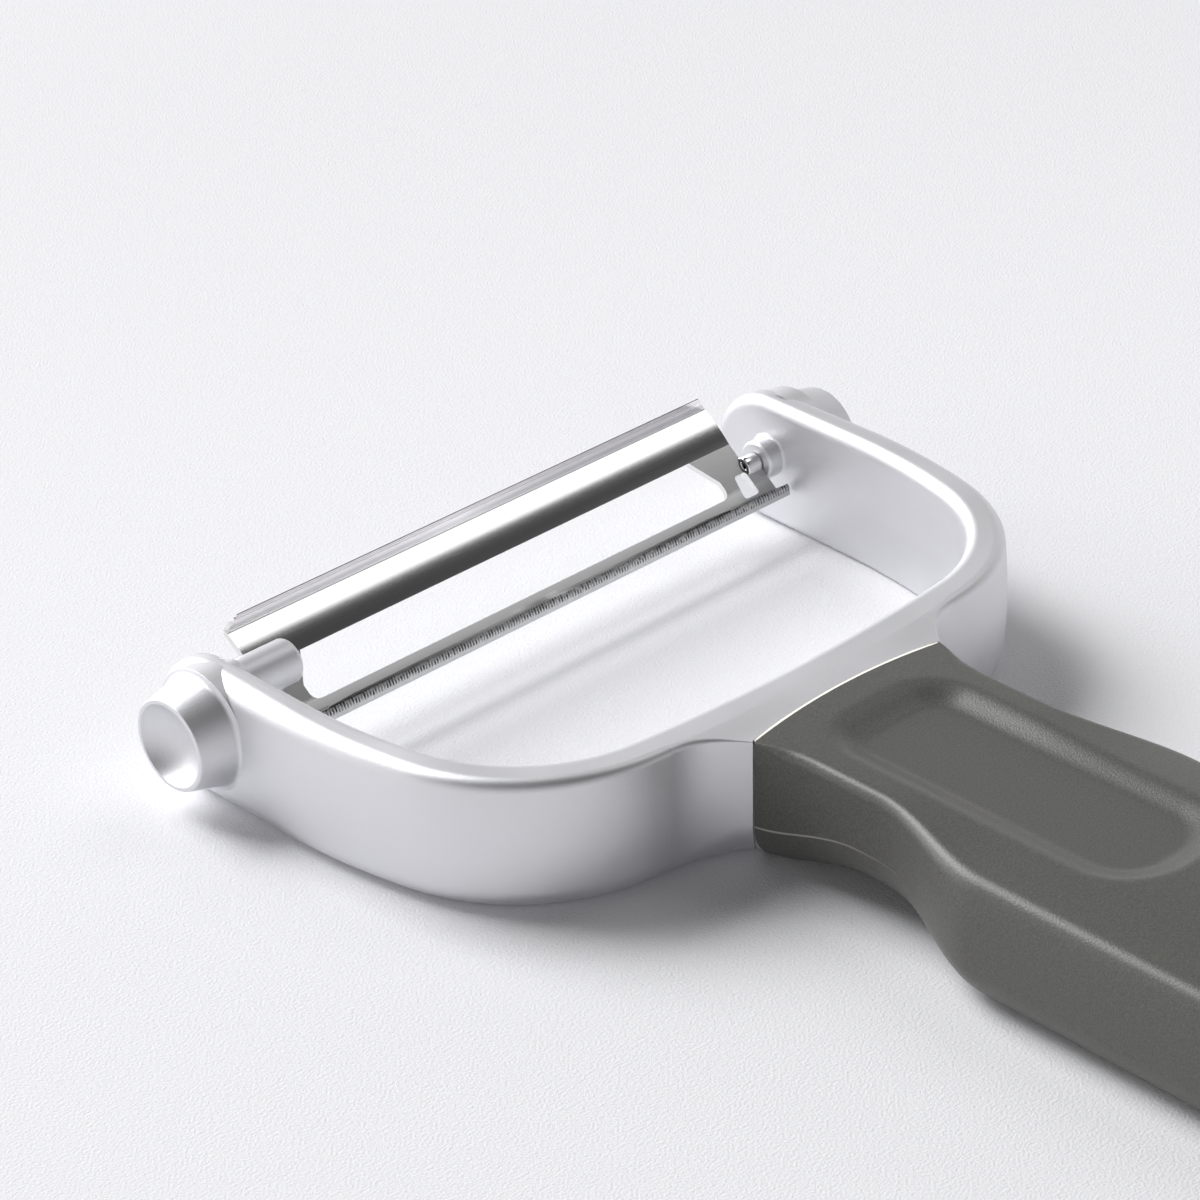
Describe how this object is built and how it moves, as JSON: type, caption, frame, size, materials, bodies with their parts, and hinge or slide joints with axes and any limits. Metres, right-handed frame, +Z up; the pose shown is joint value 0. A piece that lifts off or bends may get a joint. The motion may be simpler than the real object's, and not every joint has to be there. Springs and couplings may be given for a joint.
{
  "type": "vegetable peeler",
  "caption": "Y-shaped vegetable peeler with a satin metal head, a free swivelling slotted blade and a soft dark handle with a thumb recess.",
  "frame": {"origin": "middle of the footprint, on the surface that the peeler lies on", "axes": "+X along the blade's pivot axis from the left arm to the right arm, +Y from the handle to the blade, +Z up, away from the surface"},
  "size_m": [0.0706, 0.155, 0.0116],
  "materials": {
    "satin_casting": "satin, fine blasted",
    "blade_steel": "polished",
    "pin_steel": "bright drawn",
    "core_plastic": "matte",
    "grip_rubber": "matte, finely textured"
  },
  "bodies": {
    "head_and_handle": {"frame_casting": "satin_casting", "pivot_pin_left": "pin_steel", "pivot_pin_right": "pin_steel", "handle_core": "core_plastic", "soft_grip": "grip_rubber"},
    "blade": {"peeling_blade": "blade_steel"}
  },
  "joints": [
    {"name": "blade_swivel", "type": "hinge", "parent": "head_and_handle", "child": "blade", "pos_m": [0, 0.0712, 0.0063], "axis": [1, 0, 0], "range_deg": [-68, 8]}
  ]
}
